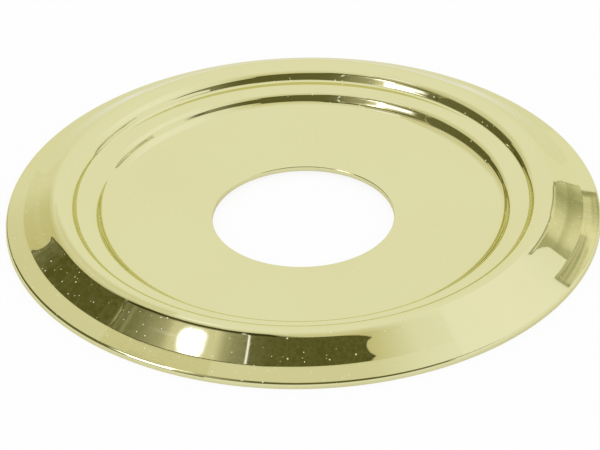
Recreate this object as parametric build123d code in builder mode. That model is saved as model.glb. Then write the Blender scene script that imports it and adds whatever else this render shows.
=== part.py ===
"""Ceiling canopy for a light fitting: one round sheet-brass pressing with a recessed centre.

Millimetres. The canopy lies with its lip down and its show face up. The origin is the centre of
the circle where the lip meets the ceiling, and +Z is the axis of the round, out of the show face.
"""

import os
from math import acos, atan2, cos, degrees, hypot, radians, sin, tan

from build123d import *

os.makedirs("parts", exist_ok=True)

# Sheet
sheet = 1.2

# Across the round
rim_d = 131.0
hole_d = 40.0
flank_width = 12.1
lip_width = 3.8
ledge_width = 1.8

# Heights
floor_gap = 0.7
inner_step = 3.25
outer_step = 2.63
lip_height = 1.2

# Slope of the lip, in degrees
lip_angle = 26.0

# Bend radii on the show face
floor_bend = 4.45
shoulder_bend = 2.9
ledge_bend = 0.85
crest_bend = 3.8
flank_sweep = 70.0
lip_bend = 3.0

# Edges
hole_edge = 0.3
burr_edge = 0.1
lip_edge = 0.8

# The drawn lip runs past the rim, and the trimming cut takes the rest away
trim_overrun = 1.6

# The floor and the steps, worked out from the lip inwards
rim_r = rim_d / 2
hole_r = hole_d / 2
inner_wall = acos(1 - inner_step / (floor_bend + shoulder_bend))
outer_wall = acos(1 - outer_step / (ledge_bend + crest_bend))
crest_r = rim_r - flank_width
ledge_r = crest_r - (ledge_bend + crest_bend) * sin(outer_wall)
shoulder_r = ledge_r - ledge_width
floor_r = shoulder_r - (floor_bend + shoulder_bend) * sin(inner_wall)
floor_z = floor_gap + sheet

# The bend above the lip, from the point where it meets the lip's straight part
lip_slope = radians(lip_angle)
lip_bend_r = rim_r - lip_width + lip_bend * sin(lip_slope)
lip_bend_z = lip_height + lip_width * tan(lip_slope) + lip_bend * cos(lip_slope)

# The flank is two equal sweeps, domed above and hollow below, that meet at its steepest point
across = lip_bend_r - crest_r
down = lip_bend_z - (floor_z + inner_step + outer_step - crest_bend)
span = hypot(across, down)
swing = 2 * flank_sweep - lip_bend - crest_bend
turn = acos((4 * flank_sweep**2 - span**2 - swing**2) / (2 * swing * span))
flank_slope = atan2(across, down) - turn
steepest = atan2(across + swing * sin(flank_slope), down + swing * cos(flank_slope))

# The cut reaches past all of the overrun, and under the lip's whole width
trim_size = 2 * (lip_width + trim_overrun)


def near(corners, radius, height):
    """The corner of the section closest to a radius and a height."""
    return corners.sort_by_distance((radius, height))[0]


# The sheet's section is drawn as its show face from the hole outwards, then thickened downwards
with BuildPart() as canopy:
    with BuildSketch(Plane.XZ) as section:
        with BuildLine():
            floor = Line((hole_r, floor_z), (floor_r, floor_z))
            foot = JernArc(floor @ 1, floor % 1, floor_bend, degrees(inner_wall))
            shoulder = JernArc(foot @ 1, foot % 1, shoulder_bend, -degrees(inner_wall))
            ledge = Line(shoulder @ 1, (ledge_r, floor_z + inner_step))
            cove = JernArc(ledge @ 1, ledge % 1, ledge_bend, degrees(outer_wall))
            crest = JernArc(cove @ 1, cove % 1, crest_bend, -degrees(outer_wall + flank_slope))
            dome = JernArc(crest @ 1, crest % 1, flank_sweep, degrees(flank_slope - steepest))
            hollow = JernArc(dome @ 1, dome % 1, flank_sweep, degrees(steepest - flank_slope))
            heel = JernArc(hollow @ 1, hollow % 1, lip_bend, degrees(flank_slope - lip_slope))
            Line(heel @ 1, heel @ 1 + (heel % 1) * (lip_width + trim_overrun) / cos(lip_slope))
            offset(amount=sheet, side=Side.RIGHT)
        make_face()
        # The trimming cut leaves an upright edge, and the lip is dressed flat to sit on the ceiling
        with Locations((rim_r, 0)):
            Rectangle(trim_size, trim_size, align=(Align.MIN, Align.CENTER), mode=Mode.SUBTRACT)
            Rectangle(trim_size, trim_size, align=(Align.CENTER, Align.MAX), mode=Mode.SUBTRACT)
        # The punched hole is rolled over on the show side, and the lip's show edge is rounded
        fillet(near(section.vertices(), hole_r, floor_z), hole_edge)
        fillet(near(section.vertices(), hole_r, floor_gap), burr_edge)
        fillet(near(section.vertices(), rim_r, lip_height), lip_edge)
    revolve(axis=Axis.Z)

canopy.part.label = "canopy"
export_step(canopy.part, "parts/canopy.step")
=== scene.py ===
"""Ceiling canopy in polished brass: its show face, back and edges, on a white table in a studio."""

from math import cos, pi, radians, sin

import bpy
import numpy as np
from bpy.props import FloatProperty, FloatVectorProperty, IntProperty, PointerProperty
from mathutils import Matrix, Vector


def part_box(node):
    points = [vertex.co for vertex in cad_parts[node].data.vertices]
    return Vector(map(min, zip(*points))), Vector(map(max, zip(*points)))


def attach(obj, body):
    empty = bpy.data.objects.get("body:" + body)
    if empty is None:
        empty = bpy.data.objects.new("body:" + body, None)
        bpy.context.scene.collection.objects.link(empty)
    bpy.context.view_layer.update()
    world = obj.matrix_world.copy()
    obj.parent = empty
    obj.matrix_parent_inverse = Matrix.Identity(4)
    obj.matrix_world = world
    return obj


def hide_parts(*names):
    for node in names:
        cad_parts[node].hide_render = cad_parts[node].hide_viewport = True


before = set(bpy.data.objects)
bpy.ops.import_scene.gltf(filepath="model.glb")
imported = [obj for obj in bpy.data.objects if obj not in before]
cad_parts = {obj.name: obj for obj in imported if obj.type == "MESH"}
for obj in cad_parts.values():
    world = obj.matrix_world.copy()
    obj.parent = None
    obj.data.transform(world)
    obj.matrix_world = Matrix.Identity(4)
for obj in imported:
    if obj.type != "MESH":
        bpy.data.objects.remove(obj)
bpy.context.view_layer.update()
low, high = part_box("canopy")

bl_info = {
    "name": "Brass ceiling canopy",
    "version": (1, 0, 0),
    "blender": (4, 5, 0),
    "location": "View3D > Sidebar > Canopy",
    "description": "Makes a pressed brass ceiling canopy and the studio it stands in",
    "category": "Add Mesh",
}

MM = 0.001

# The dressed canopy keeps to the solid's box this closely
BOX_SLACK = 0.05 * MM

# Points of the shell nearer than this are one
MERGE = 2e-6

# The table reaches far past the picture, and lies just under the lip
TABLE_HALF = 30.0
TABLE_GAP = 0.02 * MM

# How much of the table's white is a plain glow: seen by the camera, and in reflections
TABLE_GLOW = 0.88
TABLE_GLOW_REFLECTED = 0.5

# Where the canopy's axis meets the floor in the picture, in pixels from its top left corner
PICTURE = (600, 450)
AXIS_SEEN_AT = (303.3, 216.27)
SENSOR = 36


# Sizes, finishes and studio


def length(name, millimetres, note):
    """A size of the canopy, given in millimetres and kept in metres."""
    return FloatProperty(
        name=name, description=note, default=millimetres * MM, min=0, unit="LENGTH", precision=5
    )


def angle(name, degrees, note):
    """An angle, given in degrees."""
    return FloatProperty(name=name, description=note, default=radians(degrees), unit="ROTATION")


def colour(name, value, note):
    """A colour, in linear light."""
    return FloatVectorProperty(
        name=name, description=note, default=value, subtype="COLOR", size=3, min=0, max=1
    )


def share(name, value, note):
    """A share between nought and one."""
    return FloatProperty(
        name=name, description=note, default=value, min=0, max=1, subtype="FACTOR"
    )


class CanopySizes(bpy.types.PropertyGroup):
    """The canopy's sizes, as the section of its sheet is drawn."""

    rim_d: FloatProperty(
        name="Rim Diameter",
        description="Outer diameter of the lip",
        default=round(high.x - low.x, 4),
        unit="LENGTH",
    )
    hole_d: length("Hole Diameter", 40.0, "The punched hole")
    sheet: length("Sheet", 1.2, "Thickness of the brass")
    flank_width: length("Flank Width", 12.1, "From the top of the crest to the rim")
    lip_width: length("Lip Width", 3.8, "The straight part that ends at the rim")
    ledge_width: length("Ledge Width", 1.8, "The flat between the two steps")
    floor_gap: length("Floor Gap", 0.7, "From the ceiling to the back of the floor")
    inner_step: length("Inner Step", 3.25, "From the floor up to the ledge")
    outer_step: length("Outer Step", 2.63, "From the ledge up to the crest")
    lip_height: length("Lip Height", 1.2, "Height of the show face at the rim")
    lip_slope: angle("Lip Slope", 26.0, "Slope of the lip's straight part")
    floor_bend: length("Floor Bend", 4.45, "Bend at the foot of the inner step")
    shoulder_bend: length("Shoulder Bend", 2.9, "Bend at the top of the inner step")
    ledge_bend: length("Ledge Bend", 0.85, "Bend at the foot of the outer step")
    crest_bend: length("Crest Bend", 3.8, "Bend over the crest")
    flank_sweep: length("Flank Sweep", 70.0, "Radius of the flank's dome and hollow")
    lip_bend: length("Lip Bend", 3.0, "Bend where the flank eases into the lip")
    hole_edge: length("Hole Edge", 0.3, "Rollover round the hole's show edge")
    burr_edge: length("Burr Edge", 0.1, "Easing round the hole's back edge")
    lip_edge: length("Lip Edge", 0.8, "Rounding of the lip's show edge")
    turns: IntProperty(
        name="Segments", description="Segments round the circle", default=360, min=24
    )
    fineness: FloatProperty(
        name="Fineness", description="Share of the section's full set of points", default=1, min=0.2
    )


class CanopyFinish(bpy.types.PropertyGroup):
    """The colours and the fine marks of the brass."""

    brass: colour("Brass", (0.730, 0.712, 0.400), "Lacquered brass on the show face")
    warm: colour("Warm Brass", (0.640, 0.570, 0.270), "Brass where the lacquer is thick")
    back: colour("Back", (0.520, 0.440, 0.210), "Unpolished brass on the back")
    tarnish: colour("Tarnish", (0.230, 0.160, 0.075), "Dull patches on the back")
    # Kept golden rather than near white: partly the brass's own grazing tint, partly painted shade
    # that dims and warms what the back flank reflects along its surface
    grazing_tint_and_shade: colour("Grazing Tint And Shade", (0.890, 0.876, 0.680), "Brass seen along its surface")
    dust: colour("Dust", (0.760, 0.745, 0.500), "Dust specks on the lacquer")
    shine: share("Show Roughness", 0.035, "Roughness of the show face")
    matt: share("Back Roughness", 0.34, "Roughness of the back")


class CanopyStudio(bpy.types.PropertyGroup):
    """The camera and the light."""

    distance: FloatProperty(
        name="Camera Distance", description="From the canopy's axis", default=4.4, unit="LENGTH"
    )
    lens: FloatProperty(
        name="Lens", description="Focal length in millimetres", default=1200, min=1
    )
    elevation: angle("Elevation", 33.34, "Height of the camera over the horizon")
    roll: angle("Roll", 1.3, "Turn of the camera about its own axis")
    tent: FloatProperty(
        name="Tent", description="Strength of the white tent's light", default=1.0, min=0
    )
    gap: colour("Gap", (0.110, 0.107, 0.030), "The dark room seen between the tent's cloths")
    gap_light: colour("Gap Light", (0.820, 0.790, 0.645), "The room where the lamp lights it")
    gap_border: colour("Gap Border", (0.033, 0.029, 0.002), "The dark edges of the cloths")
    haze: colour("Haze", (0.722, 0.681, 0.453), "A cloth in half shade")
    lamp: FloatVectorProperty(
        name="Lamp", description="Glow of the long lamp", default=(3.5, 3.5, 4.0), subtype="COLOR"
    )
    lamp_glow: FloatVectorProperty(
        name="Lamp Glow",
        description="Glow round the lamp",
        default=(1.3, 1.3, 1.7),
        subtype="COLOR",
    )
    cloth: FloatVectorProperty(
        name="Bright Cloth",
        description="The middle of the brightest cloth",
        default=(1.09, 1.08, 1.17),
        subtype="COLOR",
    )
    patch: colour("Screen", (1.000, 0.965, 0.830), "A pale brown screen on the right")
    patch_dark: colour("Screen Shade", (0.430, 0.440, 0.286), "The same screen in its own shade")
    patch_edge: colour("Screen Edge", (0.330, 0.325, 0.185), "The edge of the screen")
    gap_reach: FloatProperty(
        name="Gap Reach", description="Distance of the gap over the table", default=0.19,
        unit="LENGTH",
    )
    gap_end_reach: FloatProperty(
        name="Gap End Reach", description="Distance of the gap's left end", default=0.3,
        unit="LENGTH",
    )
    screen_reach: FloatProperty(
        name="Screen Reach", description="Distance of the brown screen", default=0.10,
        unit="LENGTH",
    )


# Node trees


class Sum:
    """A number in a node tree: doing sums with it adds Math nodes."""

    def __init__(self, tree, socket):
        self.tree = tree
        self.socket = socket

    def do(self, operation, *others):
        node = self.tree.nodes.new("ShaderNodeMath")
        node.operation = operation
        for slot, value in zip(node.inputs, (self, *others)):
            if isinstance(value, Sum):
                self.tree.links.new(value.socket, slot)
            else:
                slot.default_value = value
        return Sum(self.tree, node.outputs[0])

    def __add__(self, other):
        return self.do("ADD", other)

    def __sub__(self, other):
        return self.do("SUBTRACT", other)

    def __mul__(self, other):
        return self.do("MULTIPLY", other)

    def __truediv__(self, other):
        return self.do("DIVIDE", other)

    def __neg__(self):
        return self.do("MULTIPLY", -1.0)

    def sine(self):
        return self.do("SINE")

    def cosine(self):
        return self.do("COSINE")

    def arccosine(self):
        return self.do("ARCCOSINE")

    def root(self):
        return self.do("SQRT")

    def inverse(self):
        """One over this number."""
        return (self * 0 + 1) / self

    def arctangent(self, over):
        """The angle whose tangent is this number over another."""
        return self.do("ARCTAN2", over)


def plug(tree, value, socket):
    """Gives a socket a number, a sum or another socket."""
    if isinstance(value, Sum):
        value = value.socket
    if isinstance(value, bpy.types.NodeSocket):
        tree.links.new(value, socket)
    else:
        socket.default_value = value


def add(tree, kind, settings=None, **inputs):
    """A node of a kind, with its settings and its inputs by name."""
    node = tree.nodes.new(kind)
    for name, value in (settings or {}).items():
        setattr(node, name, value)
    for name, value in inputs.items():
        plug(tree, value, node.inputs[name.replace("_", " ")])
    return node


def place(tree, across, up):
    """A point of the section, at a radius and a height."""
    node = tree.nodes.new("ShaderNodeCombineXYZ")
    plug(tree, across, node.inputs[0])
    plug(tree, up, node.inputs[1])
    return node.outputs[0]


class Section:
    """The sheet's section, drawn run by run into a node tree."""

    def __init__(self, tree, fineness):
        self.tree = tree
        self.fineness = fineness
        self.join = tree.nodes.new("GeometryNodeJoinGeometry")

    def points(self, count):
        """A number of points, made smaller by the fineness but never under two."""
        return (self.fineness * count).do("MAXIMUM", 2.0)

    def keep(self, curve, side):
        """Adds a run, which carries the face it belongs to: 1 show, 0 back, 0.5 cut edge."""
        stored = add(
            self.tree,
            "GeometryNodeStoreNamedAttribute",
            {"data_type": "FLOAT", "domain": "POINT"},
            Geometry=curve,
            Name="face",
            Value=side,
        )
        self.tree.links.new(stored.outputs[0], self.join.inputs[0])

    def bend(self, centre, radius, start, sweep, count, side):
        """An arc about a centre, from an angle through a turn."""
        arc = add(
            self.tree,
            "GeometryNodeCurveArc",
            {"mode": "RADIUS"},
            Resolution=self.points(count),
            Radius=radius,
            Start_Angle=start,
            Sweep_Angle=sweep,
        )
        moved = add(
            self.tree,
            "GeometryNodeTransform",
            Geometry=arc.outputs[0],
            Translation=place(self.tree, *centre),
        )
        self.keep(moved.outputs[0], side)

    def line(self, start, end, count, side):
        """A straight run between two points."""
        straight = add(
            self.tree,
            "GeometryNodeCurvePrimitiveLine",
            Start=place(self.tree, *start),
            End=place(self.tree, *end),
        )
        spaced = add(
            self.tree,
            "GeometryNodeResampleCurve",
            Curve=straight.outputs[0],
            Count=self.points(count),
        )
        self.keep(spaced.outputs[0], side)


SHOW, EDGE, BACK = 1.0, 0.5, 0.0
QUARTER = pi / 2


def draw_section(tree, size, fineness):
    """The closed section of the sheet: outwards over the show face, and back under it."""
    sheet = size("Sheet")
    rim_r = size("Rim Diameter") / 2
    hole_r = size("Hole Diameter") / 2
    floor_bend, shoulder_bend = size("Floor Bend"), size("Shoulder Bend")
    ledge_bend, crest_bend = size("Ledge Bend"), size("Crest Bend")
    sweep, lip_bend = size("Flank Sweep"), size("Lip Bend")
    lip_slope, lip_width = size("Lip Slope"), size("Lip Width")
    hole_edge, burr_edge, lip_edge = size("Hole Edge"), size("Burr Edge"), size("Lip Edge")

    # Heights of the show face
    floor_z = size("Floor Gap") + sheet
    ledge_z = floor_z + size("Inner Step")
    top_z = ledge_z + size("Outer Step")

    # The two steps, worked out from the crest inwards
    inner_reach = floor_bend + shoulder_bend
    outer_reach = ledge_bend + crest_bend
    inner_wall = (-(size("Inner Step") / inner_reach) + 1).arccosine()
    outer_wall = (-(size("Outer Step") / outer_reach) + 1).arccosine()
    crest_r = rim_r - size("Flank Width")
    ledge_r = crest_r - outer_reach * outer_wall.sine()
    shoulder_r = ledge_r - size("Ledge Width")
    floor_r = shoulder_r - inner_reach * inner_wall.sine()
    crest = (crest_r, top_z - crest_bend)

    # The bend above the lip, then the two equal sweeps of the flank that join it to the crest
    slant = lip_slope.sine() / lip_slope.cosine()
    lip_top = (rim_r - lip_width, size("Lip Height") + lip_width * slant)
    heel = (lip_top[0] + lip_bend * lip_slope.sine(), lip_top[1] + lip_bend * lip_slope.cosine())
    across, down = heel[0] - crest[0], heel[1] - crest[1]
    span = (across * across + down * down).root()
    swing = sweep * 2 - lip_bend - crest_bend
    turn = ((sweep * sweep * 4 - span * span - swing * swing) / (swing * span * 2)).arccosine()
    slope = across.arctangent(down) - turn
    steepest = (across + swing * slope.sine()).arctangent(down + swing * slope.cosine())
    inside, outside = sweep - crest_bend, sweep - lip_bend
    dome = (crest[0] - inside * slope.sine(), crest[1] - inside * slope.cosine())
    hollow = (heel[0] + outside * slope.sine(), heel[1] + outside * slope.cosine())

    # The lip's rounded show edge, its upright trimmed edge and the flat dressed on it
    edge_r = rim_r - lip_edge
    edge_z = size("Lip Height") + lip_edge * slant - lip_edge / lip_slope.cosine()
    under = size("Lip Height") - sheet / lip_slope.cosine()
    flat_r = rim_r + under / slant
    lip_end = (edge_r + lip_edge * lip_slope.sine(), edge_z + lip_edge * lip_slope.cosine())
    lip_back = (lip_top[0] - sheet * lip_slope.sine(), lip_top[1] - sheet * lip_slope.cosine())

    # Show face, outwards
    draw = Section(tree, fineness)
    zero = rim_r * 0
    floor_start, ledge_start = (hole_r + hole_edge, floor_z), (shoulder_r, ledge_z)
    draw.bend((hole_r + hole_edge, floor_z - hole_edge), hole_edge, pi, -QUARTER, 9, SHOW)
    draw.line(floor_start, (floor_r, floor_z), 24, SHOW)
    draw.bend((floor_r, floor_z + floor_bend), floor_bend, -QUARTER, inner_wall, 24, SHOW)
    draw.bend(
        (shoulder_r, ledge_z - shoulder_bend),
        shoulder_bend,
        inner_wall + QUARTER,
        -inner_wall,
        22,
        SHOW,
    )
    draw.line(ledge_start, (ledge_r, ledge_z), 4, SHOW)
    draw.bend((ledge_r, ledge_z + ledge_bend), ledge_bend, -QUARTER, outer_wall, 14, SHOW)
    draw.bend(crest, crest_bend, outer_wall + QUARTER, -(outer_wall + slope), 36, SHOW)
    draw.bend(dome, sweep, -slope + QUARTER, slope - steepest, 8, SHOW)
    draw.bend(hollow, sweep, -steepest - QUARTER, steepest - slope, 8, SHOW)
    draw.bend(heel, lip_bend, -slope - QUARTER, slope - lip_slope, 5, SHOW)
    draw.line(lip_top, lip_end, 6, SHOW)
    draw.bend((edge_r, edge_z), lip_edge, -lip_slope + QUARTER, lip_slope - QUARTER, 14, SHOW)

    # Cut edge and dressed flat
    draw.line((rim_r, edge_z), (rim_r, zero), 3, EDGE)
    draw.line((rim_r, zero), (flat_r, zero), 2, EDGE)

    # Back, inwards
    draw.line((flat_r, zero), lip_back, 5, BACK)
    draw.bend(heel, lip_bend + sheet, -lip_slope - QUARTER, lip_slope - slope, 4, BACK)
    draw.bend(hollow, sweep + sheet, -slope - QUARTER, slope - steepest, 6, BACK)
    draw.bend(dome, sweep - sheet, -steepest + QUARTER, steepest - slope, 6, BACK)
    draw.bend(crest, crest_bend - sheet, -slope + QUARTER, outer_wall + slope, 22, BACK)
    draw.bend(
        (ledge_r, ledge_z + ledge_bend),
        ledge_bend + sheet,
        outer_wall - QUARTER,
        -outer_wall,
        12,
        BACK,
    )
    draw.line((ledge_r, ledge_z - sheet), (shoulder_r, ledge_z - sheet), 3, BACK)
    draw.bend(
        (shoulder_r, ledge_z - shoulder_bend),
        shoulder_bend - sheet,
        zero + QUARTER,
        inner_wall,
        12,
        BACK,
    )
    draw.bend(
        (floor_r, floor_z + floor_bend),
        floor_bend + sheet,
        inner_wall - QUARTER,
        -inner_wall,
        14,
        BACK,
    )
    draw.line((floor_r, floor_z - sheet), (hole_r + burr_edge, floor_z - sheet), 10, BACK)
    draw.bend(
        (hole_r + burr_edge, floor_z - sheet + burr_edge),
        burr_edge,
        -QUARTER,
        -QUARTER,
        4,
        EDGE,
    )
    draw.line((hole_r, floor_z - sheet + burr_edge), (hole_r, floor_z - hole_edge), 3, EDGE)
    return draw.join.outputs[0]


def spin_tree(sizes, finishes):
    """The tree that draws the section, turns it about the axis and closes the shell."""
    tree = bpy.data.node_groups.new("canopy pressing", "GeometryNodeTree")
    tree.interface.new_socket("Geometry", in_out="OUTPUT", socket_type="NodeSocketGeometry")
    names = {}
    for key, kind in type(sizes).__annotations__.items():
        named = kind.keywords["name"]
        whole = isinstance(getattr(sizes, key), int)
        socket = tree.interface.new_socket(
            named, in_out="INPUT", socket_type="NodeSocketInt" if whole else "NodeSocketFloat"
        )
        names[socket.identifier] = key
    given = tree.nodes.new("NodeGroupInput")

    def size(named):
        return Sum(tree, given.outputs[named])

    section = draw_section(tree, size, size("Fineness"))

    # Each point of the section remembers where it is, and the sheet's normal there
    tangent = tree.nodes.new("GeometryNodeInputTangent")
    spot = tree.nodes.new("GeometryNodeInputPosition")
    noted = add(tree, "GeometryNodeStoreNamedAttribute", {"data_type": "FLOAT_VECTOR"},
                Geometry=section, Name="spot", Value=spot.outputs[0])
    noted = add(tree, "GeometryNodeStoreNamedAttribute", {"data_type": "FLOAT_VECTOR"},
                Geometry=noted.outputs[0], Name="run", Value=tangent.outputs[0])

    # A straight rail, whose points are the turns round the axis
    rail = add(tree, "GeometryNodeCurvePrimitiveLine", Start=(0, 0, 0), End=(0, 0, 1))
    rail = add(tree, "GeometryNodeResampleCurve", Curve=rail.outputs[0],
               Count=size("Segments") + 1)
    part_turn = tree.nodes.new("GeometryNodeSplineParameter")
    rail = add(tree, "GeometryNodeStoreNamedAttribute", {"data_type": "FLOAT"},
               Geometry=rail.outputs[0], Name="turn",
               Value=Sum(tree, part_turn.outputs["Factor"]) * (2 * pi))
    sheet = add(tree, "GeometryNodeCurveToMesh", Curve=rail.outputs[0],
                Profile_Curve=noted.outputs[0])

    def recall(named, kind):
        node = add(tree, "GeometryNodeInputNamedAttribute", {"data_type": kind}, Name=named)
        return node.outputs["Attribute"]

    turn = Sum(tree, recall("turn", "FLOAT"))

    def spun(named, across, up):
        """A vector of the section, turned about the axis."""
        parts = add(tree, "ShaderNodeSeparateXYZ", Vector=recall(named, "FLOAT_VECTOR"))
        out = across(parts.outputs)
        node = tree.nodes.new("ShaderNodeCombineXYZ")
        plug(tree, out * turn.cosine(), node.inputs[0])
        plug(tree, out * turn.sine(), node.inputs[1])
        plug(tree, up(parts.outputs), node.inputs[2])
        return node.outputs[0]

    round_place = spun("spot", lambda p: Sum(tree, p[0]), lambda p: Sum(tree, p[1]))
    # The section runs with the metal on its right, so the outward normal is the run turned left
    round_normal = spun("run", lambda p: -Sum(tree, p[1]), lambda p: Sum(tree, p[0]))
    shell = add(tree, "GeometryNodeStoreNamedAttribute", {"data_type": "FLOAT", "domain": "FACE"},
                Geometry=sheet.outputs[0], Name="finish", Value=recall("face", "FLOAT"))
    shell = add(tree, "GeometryNodeSetPosition", Geometry=shell.outputs[0], Position=round_place)
    shell = add(tree, "GeometryNodeStoreNamedAttribute",
                {"data_type": "FLOAT_VECTOR", "domain": "CORNER"},
                Geometry=shell.outputs[0], Name="outward", Value=round_normal)
    side = tree.nodes.new("GeometryNodeInputNormal")
    facing = tree.nodes.new("ShaderNodeVectorMath")
    facing.operation = "DOT_PRODUCT"
    tree.links.new(side.outputs[0], facing.inputs[0])
    tree.links.new(recall("outward", "FLOAT_VECTOR"), facing.inputs[1])
    wrong = add(tree, "FunctionNodeCompare", {"data_type": "FLOAT", "operation": "LESS_THAN"},
                A=facing.outputs["Value"], B=0.0)
    shell = add(tree, "GeometryNodeFlipFaces", Mesh=shell.outputs[0], Selection=wrong.outputs[0])
    shell = add(tree, "GeometryNodeMergeByDistance", Geometry=shell.outputs[0], Distance=MERGE)
    shell = add(tree, "GeometryNodeSetShadeSmooth", {"domain": "FACE"}, Geometry=shell.outputs[0])
    shell = add(tree, "GeometryNodeSetMeshNormal", {"mode": "FREE", "domain": "CORNER"},
                Mesh=shell.outputs[0], Custom_Normal=recall("outward", "FLOAT_VECTOR"))
    for named in ("face", "spot", "run", "turn", "outward"):
        shell = add(tree, "GeometryNodeRemoveAttribute", Geometry=shell.outputs[0], Name=named)
    shell = add(tree, "GeometryNodeRealizeInstances", Geometry=shell.outputs[0])
    # From the show face down: each finish takes over the faces that are at or under its own mark
    for mark, finish in finishes.items():
        chosen = add(tree, "FunctionNodeCompare", {"data_type": "FLOAT", "operation": "LESS_EQUAL"},
                     A=recall("finish", "FLOAT"), B=mark + 0.1)
        shell = add(tree, "GeometryNodeSetMaterial", Geometry=shell.outputs[0],
                    Selection=chosen.outputs[0], Material=finish)
    shell = add(tree, "GeometryNodeRemoveAttribute", Geometry=shell.outputs[0], Name="finish")
    sent = tree.nodes.new("NodeGroupOutput")
    tree.links.new(shell.outputs[0], sent.inputs[0])
    return tree, names


# Finishes


def shader_group(name, inputs, outputs):
    """An empty shader node group with named inputs and outputs."""
    group = bpy.data.node_groups.new(name, "ShaderNodeTree")
    for socket, value in inputs.items():
        made = group.interface.new_socket(socket, in_out="INPUT", socket_type="NodeSocketFloat")
        made.default_value = value
    for socket in outputs:
        group.interface.new_socket(socket, in_out="OUTPUT", socket_type="NodeSocketFloat")
    given = group.nodes.new("NodeGroupInput")
    sent = group.nodes.new("NodeGroupOutput")
    return group, given, sent


def in_group(material, group, **values):
    """Places a shader node group in a material, with its own values."""
    node = material.node_tree.nodes.new("ShaderNodeGroup")
    node.node_tree = group
    for name, value in values.items():
        plug(material.node_tree, value, node.inputs[name.replace("_", " ")])
    return node


def polish_lines():
    """Fine lines that run round the axis, as a turning polishing wheel leaves them."""
    group, given, sent = shader_group(
        "polish lines", {"Spacing": 0.35 * MM, "Streakiness": 3.0}, ["Line", "Patch"]
    )
    coords = group.nodes.new("ShaderNodeTexCoord")
    parts = add(group, "ShaderNodeSeparateXYZ", Vector=coords.outputs["Object"])
    x, y, z = (Sum(group, parts.outputs[i]) for i in range(3))
    radius = (x * x + y * y).root()
    streak = Sum(group, given.outputs["Streakiness"])
    along = (radius + z * 0.6) / Sum(group, given.outputs["Spacing"])
    where = group.nodes.new("ShaderNodeCombineXYZ")
    plug(group, x / radius * streak, where.inputs[0])
    plug(group, y / radius * streak, where.inputs[1])
    plug(group, along, where.inputs[2])
    fine = add(group, "ShaderNodeTexNoise", Vector=where.outputs[0], Scale=1.0, Detail=3.0,
               Roughness=0.6)
    broad = add(group, "ShaderNodeTexNoise", Vector=coords.outputs["Object"], Scale=28.0,
                Detail=2.0)
    group.links.new(fine.outputs["Fac"], sent.inputs["Line"])
    group.links.new(broad.outputs["Fac"], sent.inputs["Patch"])
    return group


def dust_specks():
    """Sparse round specks of dust, some of them in small groups."""
    group, given, sent = shader_group(
        "dust specks", {"Cell": 1.35 * MM, "Speck": 0.12 * MM, "Share": 0.5}, ["Speck"]
    )
    coords = group.nodes.new("ShaderNodeTexCoord")
    cell = Sum(group, given.outputs["Cell"])
    scaled = add(group, "ShaderNodeVectorMath", {"operation": "SCALE"},
                 Vector=coords.outputs["Object"], Scale=cell.inverse())
    cells = add(group, "ShaderNodeTexVoronoi", Vector=scaled.outputs[0], Scale=1.0)
    pick = add(group, "ShaderNodeSeparateColor", Color=cells.outputs["Color"])
    near = Sum(group, cells.outputs["Distance"]) * cell
    size = Sum(group, given.outputs["Speck"]) * (Sum(group, pick.outputs[0]) * 0.8 + 0.4)
    drawn = (-(near / size) + 1).do("MULTIPLY", 4.0)
    drawn.socket.node.use_clamp = True
    kept = Sum(group, pick.outputs[1]).do("LESS_THAN", Sum(group, given.outputs["Share"]))
    plug(group, drawn * kept, sent.inputs["Speck"])
    return group


def surface_swell():
    """The slow unevenness of pressed sheet, as a height."""
    group, given, sent = shader_group("surface swell", {"Size": 14 * MM}, ["Height"])
    coords = group.nodes.new("ShaderNodeTexCoord")
    size = Sum(group, given.outputs["Size"])
    swell = add(group, "ShaderNodeTexNoise", Vector=coords.outputs["Object"],
                Scale=size.inverse(), Detail=1.0, Roughness=0.4)
    group.links.new(swell.outputs["Fac"], sent.inputs["Height"])
    return group


def mix_colour(tree, amount, first, second):
    """A colour between two others."""
    node = tree.nodes.new("ShaderNodeMix")
    node.data_type = "RGBA"
    plug(tree, amount, node.inputs[0])
    for value, slot in ((first, node.inputs[6]), (second, node.inputs[7])):
        plug(tree, value if isinstance(value, bpy.types.NodeSocket) else (*value, 1), slot)
    return node.outputs[2]


def level(tree, value, low_from, high_from, low_to, high_to):
    """A number moved from one range to another, and kept inside it."""
    node = add(tree, "ShaderNodeMapRange", From_Min=low_from, From_Max=high_from,
               To_Min=low_to, To_Max=high_to)
    plug(tree, value, node.inputs["Value"])
    return Sum(tree, node.outputs[0])


def brass_material(name, look, lines, specks, swell):
    """A brass finish: colour, shine, polish lines, unevenness and dust."""
    material = bpy.data.materials.new(name)
    material.use_nodes = True
    tree = material.node_tree
    shader = tree.nodes["Principled BSDF"]
    polish = in_group(material, lines, Spacing=look["spacing"])
    dots = in_group(material, specks, Speck=look["speck"], Share=look["speck_share"])
    uneven = in_group(material, swell, Size=look["swell_size"])
    patch = level(tree, polish.outputs["Patch"], 0.35, 0.68, 0.0, 1.0)
    line = Sum(tree, polish.outputs["Line"])
    metal = mix_colour(tree, patch * look["patch"], look["colour"], look["second"])
    metal = mix_colour(tree, dots.outputs["Speck"], metal, look["dust"])
    tree.links.new(metal, shader.inputs["Base Color"])
    plug(tree, -Sum(tree, dots.outputs["Speck"]) + 1, shader.inputs["Metallic"])
    # The grazing tint is partly painted shade: it dims and warms the reflections seen along the
    # surface
    shader.inputs["Specular Tint"].default_value = (*look["grazing_tint_and_shade"], 1)
    rough = level(tree, line + patch * 0.3, 0.3, 0.9, look["rough"] * 0.7, look["rough"] * 1.5)
    plug(tree, rough + Sum(tree, dots.outputs["Speck"]) * 0.4, shader.inputs["Roughness"])
    height = line * look["line_depth"] + Sum(tree, uneven.outputs["Height"]) * look["swell_depth"]
    bump = add(tree, "ShaderNodeBump", Height=height, Strength=1.0, Distance=1.0)
    tree.links.new(bump.outputs[0], shader.inputs["Normal"])
    return material


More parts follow.
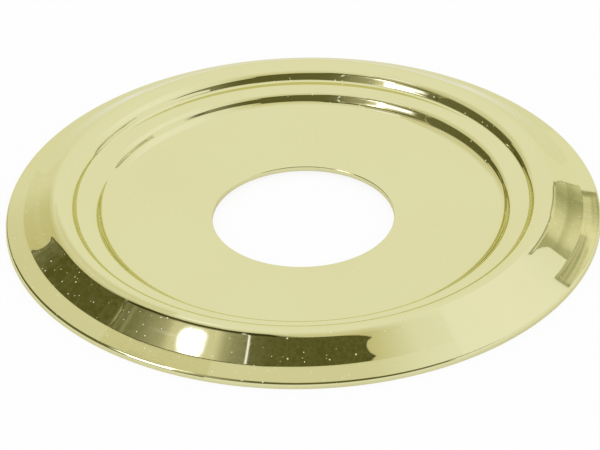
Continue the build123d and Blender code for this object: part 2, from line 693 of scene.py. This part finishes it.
def table_white():
    """A matt white table, lit so evenly that only a trace of the canopy's shadow is seen."""
    material = bpy.data.materials.new("white table")
    material.use_nodes = True
    tree = material.node_tree
    shader = tree.nodes["Principled BSDF"]
    shader.inputs["Base Color"].default_value = (0.92, 0.92, 0.92, 1)
    shader.inputs["Roughness"].default_value = 1.0
    shader.inputs["Specular IOR Level"].default_value = 0.0
    path = tree.nodes.new("ShaderNodeLightPath")
    seen = Sum(tree, path.outputs["Is Camera Ray"]) * TABLE_GLOW
    for ray in ("Is Glossy Ray", "Is Transmission Ray"):
        seen = seen.do("MAXIMUM", Sum(tree, path.outputs[ray]) * TABLE_GLOW_REFLECTED)
    glow = add(tree, "ShaderNodeEmission", Color=(1, 1, 1, 1), Strength=1.0)
    mixed = tree.nodes.new("ShaderNodeMixShader")
    plug(tree, seen, mixed.inputs[0])
    tree.links.new(shader.outputs[0], mixed.inputs[1])
    tree.links.new(glow.outputs[0], mixed.inputs[2])
    tree.links.new(mixed.outputs[0], tree.nodes["Material Output"].inputs["Surface"])
    return material


# Studio cards

# A card is drawn by the place on the flank that it is seen in: the turn round the axis in degrees,
# and the radius there in millimetres. The flank is as steep at equal distances from its steepest
# circle, so the crest's side stands for both, and radii past that circle stand for steeper metal,
# which only the steps have.

CREST_SLOPES = ((53.4, 0), (54.2, 12.2), (54.8, 21.6), (55.1, 26.6), (55.42, 32.15), (58.42, 35.1),
                (64.42, 88.9))
STEEPEST = 58.42

# A card hangs so near that the hollow half of the flank shows a little of it past that circle, so
# only what lies further on is drawn for the steps
STEPS_FROM = STEEPEST + 0.25


def by_flank(turn, radius, elevation, reach):
    """The place that the camera sees reflected in the flank, as far off as the reach."""
    slope = np.radians(np.interp(radius, *zip(*CREST_SLOPES)))
    turn = np.radians(turn)
    ring = np.minimum(radius, STEEPEST) * MM
    seen_at = np.stack([ring * np.cos(turn), -ring * np.sin(turn), np.full(turn.shape, 5 * MM)])
    out = np.stack([np.sin(slope) * np.cos(turn), -np.sin(slope) * np.sin(turn), np.cos(slope)])
    eye = np.array([0, -cos(elevation), sin(elevation)])
    return seen_at + reach * (2 * np.tensordot(eye, out, 1) * out - eye[:, None, None])


def depth_inside(across, along, outline):
    """How deep points lie inside a closed outline, and under nought outside it."""
    nearest = np.full(across.shape, 1e9)
    inside = np.zeros(across.shape, bool)
    ends = outline[1:] + outline[:1]
    for (x0, y0), (x1, y1) in zip(outline, ends):
        run, rise = x1 - x0, y1 - y0
        part = np.clip(((across - x0) * run + (along - y0) * rise) / (run**2 + rise**2), 0, 1)
        nearest = np.minimum(
            nearest, np.hypot(across - x0 - part * run, along - y0 - part * rise)
        )
        if y0 != y1:
            crossed = (y0 > along) != (y1 > along)
            inside ^= crossed & (across < x0 + run * (along - y0) / rise)
    return np.where(inside, nearest, -nearest)


def card_material(name, colours, border, soft, opacity, mottle, grain):
    """A glowing card that fades out at its outline, with a border of its own colour."""
    dark, light, rim = colours
    material = bpy.data.materials.new(name)
    material.use_nodes = True
    tree = material.node_tree
    tree.nodes.clear()
    inside = add(tree, "ShaderNodeAttribute", {"attribute_name": "depth"}).outputs["Fac"]
    tone = Sum(tree, add(tree, "ShaderNodeAttribute", {"attribute_name": "tone"}).outputs["Fac"])
    cloud = add(tree, "ShaderNodeTexNoise", Scale=1 / grain, Detail=2.0, Roughness=0.7,
                Vector=tree.nodes.new("ShaderNodeTexCoord").outputs["Object"])
    body = mix_colour(tree, tone + level(tree, cloud.outputs["Fac"], 0.3, 0.8, -mottle, mottle * 2),
                      dark, light)
    shade = body
    if rim is not None:
        shade = mix_colour(tree, level(tree, inside, border / 3, border, 0.0, 1.0), rim, body)
    glow = add(tree, "ShaderNodeEmission", Color=shade)
    clear_part = tree.nodes.new("ShaderNodeBsdfTransparent")
    mixed = tree.nodes.new("ShaderNodeMixShader")
    plug(tree, level(tree, inside, -soft, soft, 0.0, opacity), mixed.inputs[0])
    tree.links.new(clear_part.outputs[0], mixed.inputs[1])
    tree.links.new(glow.outputs[0], mixed.inputs[2])
    sent = tree.nodes.new("ShaderNodeOutputMaterial")
    tree.links.new(mixed.outputs[0], sent.inputs["Surface"])
    return material


def card(name, reach, studio, outline, colours, border, soft, step, tones, opacity=1.0,
         mottle=0.0, grain=3.5 * MM):
    """A curved card hung round the table, seen only in what is polished.

    The outline, the border's width, the softness of the edge and the step of the mesh are all in
    the flank's degrees and millimetres. The colours are dark, light and border.
    """
    clear(name)
    pad = 1.5 * soft
    least = [min(point[i] for point in outline) - pad for i in (0, 1)]
    most = [max(point[i] for point in outline) + pad for i in (0, 1)]
    counts = [max(4, int((most[i] - least[i]) / step[i])) for i in (0, 1)]
    across, along = np.meshgrid(
        np.linspace(least[0], most[0], counts[0]),
        np.linspace(least[1], most[1], counts[1]),
        indexing="ij",
    )
    places = by_flank(across, along, studio.elevation, reach)
    depth = depth_inside(across, along, outline)
    tone = tones(across, along)
    mesh = bpy.data.meshes.new(name)
    grid = np.arange(counts[0] * counts[1]).reshape(counts)
    quads = np.stack([grid[:-1, :-1], grid[1:, :-1], grid[1:, 1:], grid[:-1, 1:]], -1)
    keep = depth.ravel()[quads].max(-1) > -pad
    mesh.from_pydata(places.reshape(3, -1).T.tolist(), [], quads[keep].tolist())
    for label, values in (("depth", depth), ("tone", tone)):
        layer = mesh.attributes.new(label, "FLOAT", "POINT")
        layer.data.foreach_set("value", np.ascontiguousarray(values.ravel(), dtype=np.float32))
    mesh.materials.append(card_material(name, colours, border, soft, opacity, mottle, grain))
    hung = bpy.data.objects.new(name, mesh)
    bpy.context.collection.objects.link(hung)
    for ray in ("camera", "diffuse", "shadow", "transmission", "volume_scatter"):
        setattr(hung, f"visible_{ray}", False)


def stops(*pairs):
    """A tone that changes along a card's first coordinate, through given stops."""
    places, values = zip(*pairs)
    return lambda across, along: np.interp(across, places, values)


def oblong(first, last, least, most):
    """An outline between two turns and two radii."""
    return [(first, least), (last, least), (last, most), (first, most)]


WHITE = (1, 1, 1)
EVEN = stops((0, 0))

GAP = [
    (75.3, 57), (76.5, 56.6), (78.3, 56.24), (82.7, 55.83), (87, 55.54), (91.3, 55.45),
    (95.5, 55.37), (98.7, 55.25), (111, 55.25), (127, 55.24), (133, 55.32), (134.3, 55.34),
    (134.7, 56.5), (134.2, 58), (135, 61.4), (60, 61.4), (61, 60.8), (62, 60.2), (58, 59.7),
    (48, 59.25), (58, 58.95), (77.1, 58.68), (76.5, 57.6),
]
GAP_LEFT = [
    (110, 55.25), (127, 55.24), (133, 55.32), (140, 55.4), (145, 55.45), (151, 55.57),
    (159, 55.9), (163, 56.35), (166.2, 56.75), (167.4, 57.05), (166.3, 57.6), (165.7, 58.75),
    (173, 58.8), (183, 58.9), (245, 59), (245, 63), (110, 63),
]
LAMP = [
    (112.4, 56.6), (113.8, 56.1), (116.5, 56.1), (117.8, 56.6), (118.5, 57.4), (119, 58.65),
    (129, 58.9), (131, 59.8), (127, 60.5), (126.5, 61.6), (116.5, 61.6), (116, 58.9),
    (112, 58.65), (112, 57.4),
]
LAMP_HALO = [(108, 54.6), (112, 54.4), (118, 54.4), (122, 54.6), (122, 54.9), (107, 54.9)]
SLIT = [
    (104.6, 55.42), (103.3, 55.5), (102.95, 55.9), (102.9, 59.2), (102.45, 59.2),
    (102.5, 55.9), (102.8, 55.5), (104.0, 55.38),
]
SCREEN = [
    (-6, 58.65), (-5.6, 57.5), (-4.4, 56.2), (-3.2, 55.6), (-3.5, 55.3), (-2, 55.2),
    (0, 54.95), (10.5, 54.95), (11.5, 55.13), (28, 55.14), (27.3, 55.4), (24.4, 55.8),
    (22.6, 56.5), (21.2, 57.3), (20.7, 58), (20.6, 58.65),
]
CREST_SHADE = [(121, 53.95), (165, 53.9), (178, 54.4), (165, 54.95), (121, 54.95)]

# Tones from dark to light, through the turn: the gap as the flank shows it, the two gap cards as
# the steps show them, the cloth that is brightest in its middle, and the half-shaded cloth
GAP_ON_FLANK = stops(
    (90, 0.01), (98, 0.04), (101.8, 0.08), (102.6, 0.16), (104, 0.26), (106, 0.33), (108, 0.53),
    (110, 1), (120, 0.95), (122, 0.53), (124, 0.42), (126, 0.31), (128, 0.22), (130.6, 0.16),
    (131.6, 0.3), (132.4, 0.1), (133.6, 0.19), (134.6, 0.06), (136, 0.02), (158, 0), (162, 0.08),
    (164, 0.1), (166, 0.25),
)
NEAR_GAP_ON_STEPS = stops(
    (48, 0.6), (60, 0.3), (66, 0.12), (72, 0.03), (80, 0.03), (98, 0.05), (103, 0.14),
    (106, 0.3), (112, 0.5), (115, 1), (126.5, 1), (130, 0.5), (131.5, 0.12), (136, 0.07),
)
FAR_GAP_ON_STEPS = stops(
    (110, 0.14), (140, 0.06), (155, 0.04), (175, 0.02), (184, 0.04), (192, 0.25), (206, 0.45),
    (245, 0.85),
)
CLOTH_TONES = stops((20, 0), (32, 0.8), (44, 1), (56, 0.7), (66, 0))
HAZE_TONES = stops(
    (58, 1), (66, 0.85), (70, 0.5), (75, 0.1), (76, 0), (168, 0), (172, 0.05), (176, 0.12),
    (180, 0.22), (184, 0.42), (188, 0.67), (192, 0.72), (208, 0.76), (212, 0.9), (220, 1),
)


def gap_tones(on_steps):
    """A gap card's tones: one row of them for the flank, and one for the steeper steps."""
    return lambda across, along: np.where(
        along < STEPS_FROM, GAP_ON_FLANK(across, along), on_steps(across, along)
    )


def screen_tones(across, along):
    """The brown screen's tone: broad shades on the flank, and streaks that follow the lip."""
    shades = stops((-6, 0.7), (-4, 0.4), (-2, 0.18), (1, 0), (3, 0.16), (6, 0.4), (8, 0.6),
                   (12, 0.8), (15, 0.8), (17, 0.6), (18.5, 0.22), (20.5, 0.08), (27, 0.24))
    streaked = stops((-6, 1.1), (-3, 0.7), (2, 0.6), (6, 0.75), (10, 1.1), (28, 1.2))(across, along)
    ring = along + 0.0013 * np.maximum(across - 5, 0)
    for place, half, fade in (
        (55.262, 0.012, stops((-4, 0.4), (8, 0.3), (13, 0), (16, 0), (19, 0.9), (27, 1))),
        (55.310, 0.009, stops((3, 0), (6, 0.3), (12, 1.3), (27, 1.1))),
        (55.341, 0.008, stops((9, 0), (12, 0.9), (18, 1.3), (27, 1))),
        (55.372, 0.012, stops((-8, 0.6), (4, 0.4), (10, 0), (13, 0), (15, 0.6))),
    ):
        streaked = streaked - fade(across, along) * np.exp(-(((ring - place) / half) ** 2))
    on_lip = np.clip((55.41 - along) / 0.03, 0, 1) * np.clip((along - 55.2) / 0.02, 0, 1)
    return shades(across, along) * (1 - on_lip) + streaked * on_lip


# Building


def clear(name):
    """Removes a piece that an earlier run left."""
    old = bpy.data.objects.get(name)
    if old is not None:
        bpy.data.objects.remove(old)


class MakeCanopy(bpy.types.Operator):
    """Make the brass canopy from its section"""

    bl_idname = "canopy.make_canopy"
    bl_label = "Make Canopy"

    def execute(self, context):
        sizes, finish = context.scene.canopy_sizes, context.scene.canopy_finish
        lines, specks, swell = polish_lines(), dust_specks(), surface_swell()
        show = dict(
            colour=finish.brass, second=finish.warm, dust=finish.dust, rough=finish.shine,
            grazing_tint_and_shade=finish.grazing_tint_and_shade, patch=0.10, spacing=0.3 * MM, line_depth=1.2e-7,
            speck=0.19 * MM, speck_share=0.9, swell_size=13 * MM, swell_depth=6e-6,
        )
        back = dict(
            colour=finish.back, second=finish.tarnish, dust=finish.dust, rough=finish.matt,
            grazing_tint_and_shade=finish.grazing_tint_and_shade, patch=0.55, spacing=0.5 * MM, line_depth=4e-6,
            speck=0.2 * MM, speck_share=0.3, swell_size=9 * MM, swell_depth=2e-5,
        )
        cut = dict(back, colour=finish.brass, second=finish.warm, rough=0.16, patch=0.4,
                   speck_share=0.1, spacing=0.12 * MM)
        finishes = {
            SHOW: brass_material("polished brass", show, lines, specks, swell),
            EDGE: brass_material("cut brass edge", cut, lines, specks, swell),
            BACK: brass_material("unpolished brass", back, lines, specks, swell),
        }
        clear("canopy_pressing")
        tree, names = spin_tree(sizes, finishes)
        blank = bpy.data.objects.new("blank", bpy.data.meshes.new("blank"))
        context.collection.objects.link(blank)
        modifier = blank.modifiers.new("pressing", "NODES")
        modifier.node_group = tree
        for identifier, key in names.items():
            modifier[identifier] = getattr(sizes, key)
        ready = blank.evaluated_get(context.evaluated_depsgraph_get())
        mesh = bpy.data.meshes.new_from_object(ready)
        mesh.name = "canopy_pressing"
        canopy = bpy.data.objects.new("canopy_pressing", mesh)
        context.collection.objects.link(canopy)
        bpy.data.objects.remove(blank)
        corners = [Vector(corner) for corner in canopy.bound_box]
        for axis in range(3):
            least = min(corner[axis] for corner in corners)
            most = max(corner[axis] for corner in corners)
            if abs(least - low[axis]) > BOX_SLACK or abs(most - high[axis]) > BOX_SLACK:
                raise RuntimeError(f"the canopy leaves its box along axis {axis}: {least} {most}")
        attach(canopy, "root")
        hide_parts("canopy")
        return {"FINISHED"}


class MakeStudio(bpy.types.Operator):
    """Make the table, the tent, the cards and the camera"""

    bl_idname = "canopy.make_studio"
    bl_label = "Make Studio"

    def execute(self, context):
        studio = context.scene.canopy_studio
        self.table(context)
        self.tent(context, studio)
        self.gap_cards(studio)
        self.lamp_cards(studio)
        self.screen_cards(studio)
        self.haze_cards(studio)
        self.camera(context, studio)
        return {"FINISHED"}

    def table(self, context):
        clear("table")
        mesh = bpy.data.meshes.new("table")
        corners = [(-1, -1), (1, -1), (1, 1), (-1, 1)]
        places = [(x * TABLE_HALF, y * TABLE_HALF, low.z - TABLE_GAP) for x, y in corners]
        mesh.from_pydata(places, [], [(0, 1, 2, 3)])
        mesh.materials.append(table_white())
        table = bpy.data.objects.new("table", mesh)
        context.collection.objects.link(table)

    def tent(self, context, studio):
        world = bpy.data.worlds.new("tent")
        world.use_nodes = True
        ground = world.node_tree.nodes["Background"]
        ground.inputs["Color"].default_value = (1, 1, 1, 1)
        ground.inputs["Strength"].default_value = studio.tent
        context.scene.world = world

    def gap_cards(self, studio):
        """The dark gap between the tent's cloths, whose left end is further off."""
        shades = (studio.gap, studio.gap_light, studio.gap_border)
        card(
            "gap", studio.gap_reach, studio, GAP, shades, 0.3, 0.07, (0.25, 0.05),
            gap_tones(NEAR_GAP_ON_STEPS), mottle=0.045,
        )
        card(
            "gap_left", studio.gap_end_reach, studio, GAP_LEFT, shades, 0.3, 0.07, (0.25, 0.05),
            gap_tones(FAR_GAP_ON_STEPS), mottle=0.045, grain=9 * MM,
        )

    def lamp_cards(self, studio):
        """The long lamp in the gap, its glow on the crest, and a bright slit beside it."""
        reach, lamp, glow = studio.gap_reach, studio.lamp, studio.lamp_glow
        card(
            "lamp", reach * 0.95, studio, LAMP, (lamp, lamp, glow), 0.6, 0.45, (0.25, 0.1), EVEN
        )
        card(
            "lamp_halo", reach * 0.96, studio, LAMP_HALO, (glow, glow, WHITE), 0.2, 0.2,
            (0.4, 0.03), EVEN, opacity=0.8,
        )
        card(
            "slit", reach * 0.94, studio, SLIT, (glow, glow, glow), 0.2, 0.06, (0.06, 0.03), EVEN
        )

    def screen_cards(self, studio):
        """The brown screen on the right, and the brightest cloth in front of it."""
        card(
            "screen_right", studio.screen_reach, studio, SCREEN,
            (studio.patch_dark, studio.patch, studio.patch_edge), 0.25, 0.1, (0.3, 0.005),
            screen_tones, mottle=0.12, grain=1.2 * MM,
        )
        card(
            "bright_cloth", studio.gap_reach * 1.3, studio, oblong(20, 72, 54.2, 58.65),
            (WHITE, studio.cloth, WHITE), 0.2, 0.3, (1, 0.1), CLOTH_TONES,
        )

    def haze_cards(self, studio):
        """Cloths in half shade: behind the gap, and over the crest above it."""
        shades = (studio.haze, WHITE, None)
        card(
            "crest_shade", studio.gap_reach * 1.02, studio, CREST_SHADE, shades, 0, 0.4, (1, 0.05),
            stops((0, 0.35)), opacity=0.9,
        )
        card(
            "haze", studio.gap_reach * 1.05, studio, oblong(58, 134.5, 55.15, 59.3), shades, 0,
            0.5, (1, 0.1), HAZE_TONES,
        )
        card(
            "haze_left", studio.gap_end_reach * 1.05, studio, oblong(110, 222, 55.15, 58.85),
            shades, 0, 0.5, (1, 0.1), HAZE_TONES,
        )

    def camera(self, context, studio):
        clear("camera")
        data = bpy.data.cameras.new("camera")
        data.lens = studio.lens
        data.sensor_width = SENSOR
        data.clip_start, data.clip_end = 0.1, 100
        camera = bpy.data.objects.new("camera", data)
        context.collection.objects.link(camera)
        back = Vector((0, -cos(studio.elevation), sin(studio.elevation)))
        level_up = Vector((0, sin(studio.elevation), cos(studio.elevation)))
        side = Vector((1, 0, 0))
        right = side * cos(studio.roll) - level_up * sin(studio.roll)
        up = side * sin(studio.roll) + level_up * cos(studio.roll)
        pixel = studio.distance * SENSOR / studio.lens / PICTURE[0]
        sizes = context.scene.canopy_sizes
        aim = Vector((0, 0, sizes.floor_gap + sizes.sheet))
        aim -= right * (AXIS_SEEN_AT[0] - PICTURE[0] / 2) * pixel
        aim += up * (AXIS_SEEN_AT[1] - PICTURE[1] / 2) * pixel
        camera.matrix_world = Matrix.Translation(aim + back * studio.distance) @ Matrix(
            (right, up, back)
        ).transposed().to_4x4()
        context.scene.camera = camera
        context.scene.view_settings.view_transform = "Standard"


class CanopyPanel(bpy.types.Panel):
    """Sizes and finish of the canopy"""

    bl_idname = "VIEW3D_PT_canopy"
    bl_label = "Ceiling Canopy"
    bl_space_type = "VIEW_3D"
    bl_region_type = "UI"
    bl_category = "Canopy"

    def draw(self, context):
        layout = self.layout
        layout.operator(MakeCanopy.bl_idname)
        layout.operator(MakeStudio.bl_idname)
        for group in ("canopy_sizes", "canopy_finish", "canopy_studio"):
            settings = getattr(context.scene, group)
            box = layout.box()
            for key in type(settings).__annotations__:
                box.prop(settings, key)


CLASSES = (CanopySizes, CanopyFinish, CanopyStudio, MakeCanopy, MakeStudio, CanopyPanel)


def register():
    for cls in CLASSES:
        bpy.utils.register_class(cls)
    bpy.types.Scene.canopy_sizes = PointerProperty(type=CanopySizes)
    bpy.types.Scene.canopy_finish = PointerProperty(type=CanopyFinish)
    bpy.types.Scene.canopy_studio = PointerProperty(type=CanopyStudio)


def unregister():
    del bpy.types.Scene.canopy_studio
    del bpy.types.Scene.canopy_finish
    del bpy.types.Scene.canopy_sizes
    for cls in reversed(CLASSES):
        bpy.utils.unregister_class(cls)


def main():
    """Makes the canopy and its studio."""
    register()
    bpy.ops.canopy.make_canopy()
    bpy.ops.canopy.make_studio()


if __name__ == "__main__":
    main()
